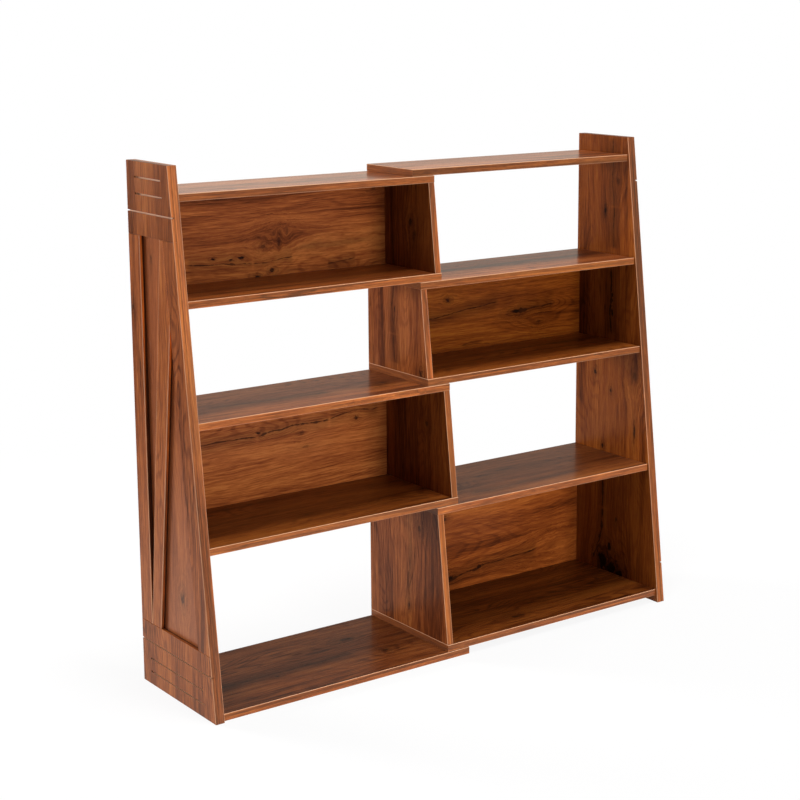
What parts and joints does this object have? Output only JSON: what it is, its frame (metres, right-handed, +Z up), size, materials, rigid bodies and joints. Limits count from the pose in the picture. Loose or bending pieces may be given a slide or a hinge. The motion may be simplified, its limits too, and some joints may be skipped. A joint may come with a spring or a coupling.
{
  "type": "telescoping bookcase",
  "caption": "Open bookcase in two comb-shaped halves that slide into each other sideways, with alternating closed boxes and open bays between leaning side panels.",
  "frame": {"origin": "on the floor, in the middle of the bookcase drawn out to full length: bottom centre of its box", "axes": "+X along the shelves towards the right half as seen from the front, +Y to the rear, +Z up"},
  "size_m": [1.1984, 0.301, 1.08],
  "materials": {
    "panel": "satin walnut-look veneer, grain upright",
    "batten": "satin walnut-look veneer, grain upright",
    "shelf": "satin walnut-look veneer, grain along the shelf",
    "back": "satin walnut-look veneer, grain along the shelf",
    "fitting": "zinc plated"
  },
  "bodies": {
    "left_half": {"left_side_panel": "panel", "left_top_block": "batten", "left_bottom_block": "batten", "left_rear_stile": "batten", "left_front_stile": "batten", "left_diagonal_brace": "batten", "left_top_shelf": "shelf", "left_second_shelf": "shelf", "left_middle_shelf": "shelf", "left_lower_shelf": "shelf", "left_floor_board": "shelf", "left_upper_box_wall": "panel", "left_upper_box_back": "back", "left_lower_box_wall": "panel", "left_lower_box_back": "back", "left_top_shelf_rear_cam": "fitting", "left_top_shelf_front_cam": "fitting", "left_second_shelf_rear_cam": "fitting", "left_second_shelf_front_cam": "fitting", "left_middle_shelf_rear_cam": "fitting", "left_middle_shelf_front_cam": "fitting", "left_lower_shelf_rear_cam": "fitting", "left_lower_shelf_front_cam": "fitting", "left_floor_board_rear_cam": "fitting", "left_floor_board_front_cam": "fitting", "left_upper_box_top_screw": "fitting", "left_upper_box_bottom_screw": "fitting", "left_lower_box_top_screw": "fitting", "left_lower_box_bottom_screw": "fitting"},
    "right_half": {"right_side_panel": "panel", "right_top_block": "batten", "right_bottom_block": "batten", "right_rear_stile": "batten", "right_front_stile": "batten", "right_diagonal_brace": "batten", "right_top_shelf": "shelf", "right_second_shelf": "shelf", "right_middle_shelf": "shelf", "right_lower_shelf": "shelf", "right_floor_board": "shelf", "right_upper_box_wall": "panel", "right_upper_box_back": "back", "right_lower_box_wall": "panel", "right_lower_box_back": "back", "right_top_shelf_rear_cam": "fitting", "right_top_shelf_front_cam": "fitting", "right_second_shelf_rear_cam": "fitting", "right_second_shelf_front_cam": "fitting", "right_middle_shelf_rear_cam": "fitting", "right_middle_shelf_front_cam": "fitting", "right_lower_shelf_rear_cam": "fitting", "right_lower_shelf_front_cam": "fitting", "right_floor_board_rear_cam": "fitting", "right_floor_board_front_cam": "fitting", "right_upper_box_top_screw": "fitting", "right_upper_box_bottom_screw": "fitting", "right_lower_box_top_screw": "fitting", "right_lower_box_bottom_screw": "fitting"}
  },
  "joints": [
    {"name": "retract", "type": "slide", "parent": "left_half", "child": "right_half", "axis": [-1, 0, 0], "range_m": [0, 0.55]}
  ]
}
